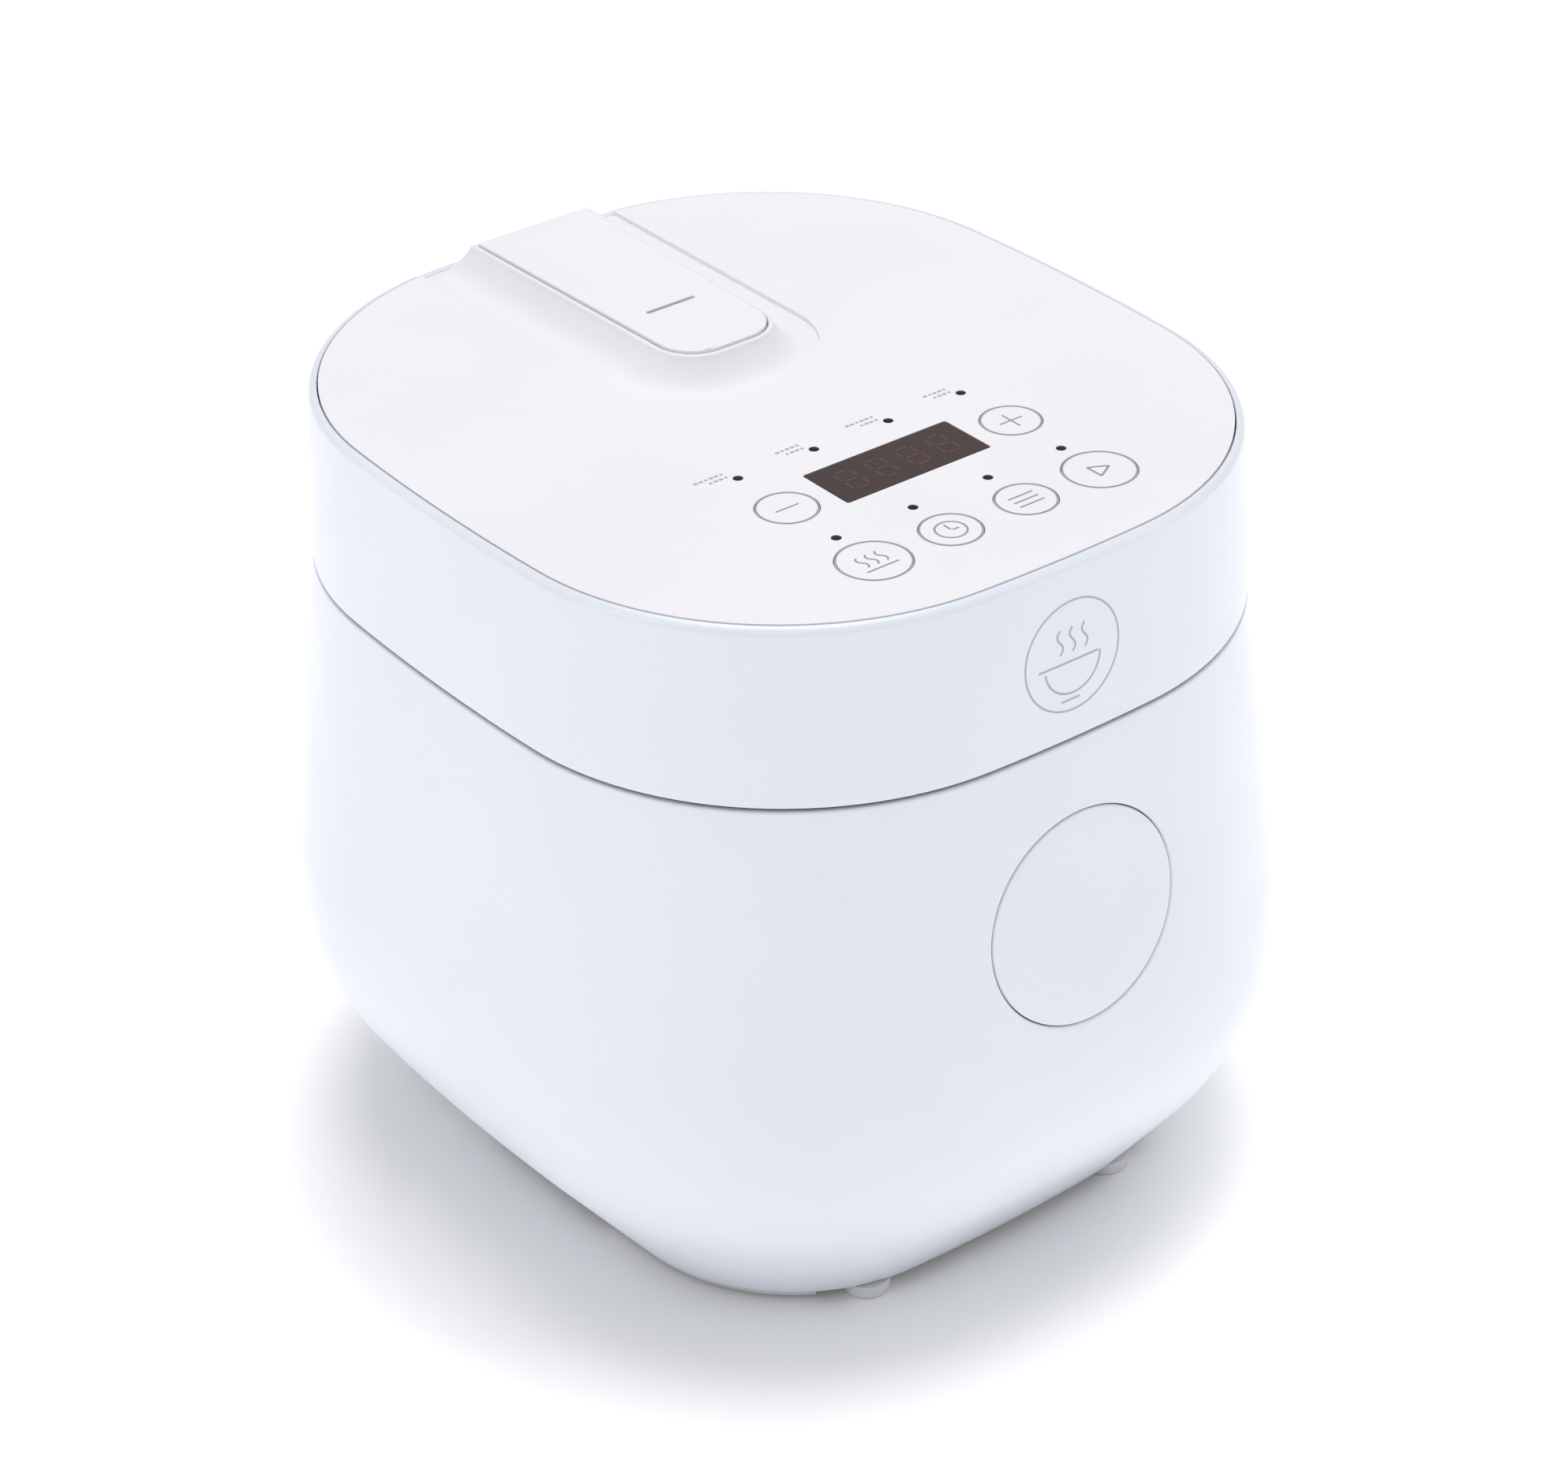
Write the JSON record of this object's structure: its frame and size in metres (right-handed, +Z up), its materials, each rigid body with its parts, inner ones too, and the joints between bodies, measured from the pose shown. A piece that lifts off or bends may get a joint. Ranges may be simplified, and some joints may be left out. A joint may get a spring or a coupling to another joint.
{
  "type": "rice cooker",
  "caption": "White rounded-square countertop rice cooker with hinged lid, flat touch panel, raised steam cap and large round lid release on the front.",
  "frame": {"origin": "on the floor plane under the middle of the body's bounding box", "axes": "+Z up, -Y towards the front with the release button, +X to the right of someone facing the front"},
  "size_m": [0.24, 0.2664, 0.2309],
  "materials": {
    "white_plastic": "satin white moulded plastic, softly bowed walls, faint cool tint",
    "panel_plastic": "smooth white printed panel with a soft gloss",
    "inner_plastic": "matt white structural plastic, not seen when closed",
    "base_plastic": "matt off-white base moulding",
    "white_rubber": "soft off-white rubber feet",
    "silicone": "translucent white silicone seal",
    "smoked_window": "dark brown-black tinted window plastic",
    "dark_plastic": "black moulded plastic",
    "pot_coating": "aluminium bowl with a pale grey ceramic non-stick coating",
    "sheet_steel": "thin plated steel sheet",
    "spring_steel": "bright spring and screw steel",
    "cast_aluminium": "satin aluminium",
    "brass": "bright brass contacts",
    "circuit_board": "green glass-fibre circuit board"
  },
  "bodies": {
    "base": {"outer_shell": "white_plastic", "upper_ring": "inner_plastic", "base_cover": "base_plastic", "foot_front_left": "white_rubber", "foot_front_right": "white_rubber", "foot_rear_left": "white_rubber", "foot_rear_right": "white_rubber", "screw_front_left": "spring_steel", "screw_front_right": "spring_steel", "screw_rear_left": "spring_steel", "screw_rear_right": "spring_steel", "inner_liner": "sheet_steel", "heating_plate": "cast_aluminium", "sensor_spring": "spring_steel", "inner_pot": "pot_coating", "hinge_housing": "white_plastic", "hinge_pin": "spring_steel", "hinge_spring_left": "spring_steel", "hinge_spring_right": "spring_steel", "button_guide": "inner_plastic", "button_spring": "spring_steel", "latch_pin": "spring_steel", "latch_spring": "spring_steel", "power_inlet": "dark_plastic", "inlet_pin_live": "brass", "inlet_pin_neutral": "brass", "inlet_pin_earth": "brass", "power_board": "circuit_board", "relay": "dark_plastic", "transformer": "dark_plastic", "filter_capacitor": "brass"},
    "lid": {"lid_shell": "white_plastic", "top_panel": "panel_plastic", "display_window": "smoked_window", "display_module": "dark_plastic", "control_board": "circuit_board", "dot_guide_rear": "smoked_window", "dot_guide_front": "smoked_window", "switch_minus": "dark_plastic", "switch_plus": "dark_plastic", "switch_keep_warm": "dark_plastic", "switch_timer": "dark_plastic", "switch_menu": "dark_plastic", "switch_start": "dark_plastic", "lid_frame": "inner_plastic", "inner_lid": "cast_aluminium", "lid_gasket": "silicone", "steam_seal": "silicone", "lid_probe": "sheet_steel", "latch_keeper": "sheet_steel"},
    "steam_cap": {"steam_cap": "panel_plastic"},
    "release_button": {"release_button": "white_plastic"},
    "latch": {"latch_lever": "inner_plastic"},
    "sensor_cap": {"sensor_cap": "cast_aluminium"},
    "key_minus": {"key_minus": "panel_plastic"},
    "key_plus": {"key_plus": "panel_plastic"},
    "key_keep_warm": {"key_keep_warm": "panel_plastic"},
    "key_timer": {"key_timer": "panel_plastic"},
    "key_menu": {"key_menu": "panel_plastic"},
    "key_start": {"key_start": "panel_plastic"}
  },
  "joints": [
    {"name": "lid_hinge", "type": "hinge", "parent": "base", "child": "lid", "pos_m": [0, 0.11364, 0.1811], "axis": [-1, 0, 0], "range_deg": [0, 80], "deforming": ["hinge_spring_left", "hinge_spring_right"]},
    {"name": "release_button_press", "type": "slide", "parent": "base", "child": "release_button", "axis": [0, 0.9934, -0.1149], "range_m": [0, 0.0035], "stiffness_N_per_m": 1200, "deforming": ["button_spring"]},
    {"name": "latch_pivot", "type": "hinge", "parent": "base", "child": "latch", "pos_m": [0, -0.106, 0.15], "axis": [1, 0, 0], "range_deg": [0, 8.1], "deforming": ["latch_spring"]},
    {"name": "sensor_cap_press", "type": "slide", "parent": "base", "child": "sensor_cap", "axis": [0, 0, -1], "range_m": [0, 0.0015], "stiffness_N_per_m": 900, "deforming": ["sensor_spring"]},
    {"name": "steam_cap_lift", "type": "slide", "parent": "lid", "child": "steam_cap", "axis": [0, 0, 1], "range_m": [0, 0.03]},
    {"name": "key_minus_press", "type": "slide", "parent": "lid", "child": "key_minus", "axis": [0, 0, -1], "range_m": [0, 0.0006], "stiffness_N_per_m": 900},
    {"name": "key_plus_press", "type": "slide", "parent": "lid", "child": "key_plus", "axis": [0, 0, -1], "range_m": [0, 0.0006], "stiffness_N_per_m": 900},
    {"name": "key_keep_warm_press", "type": "slide", "parent": "lid", "child": "key_keep_warm", "axis": [0, 0, -1], "range_m": [0, 0.0006], "stiffness_N_per_m": 900},
    {"name": "key_timer_press", "type": "slide", "parent": "lid", "child": "key_timer", "axis": [0, 0, -1], "range_m": [0, 0.0006], "stiffness_N_per_m": 900},
    {"name": "key_menu_press", "type": "slide", "parent": "lid", "child": "key_menu", "axis": [0, 0, -1], "range_m": [0, 0.0006], "stiffness_N_per_m": 900},
    {"name": "key_start_press", "type": "slide", "parent": "lid", "child": "key_start", "axis": [0, 0, -1], "range_m": [0, 0.0006], "stiffness_N_per_m": 900}
  ],
  "couplings": [
    {"joint": "latch_pivot", "follows": "release_button_press", "rad_per_m": 40}
  ]
}
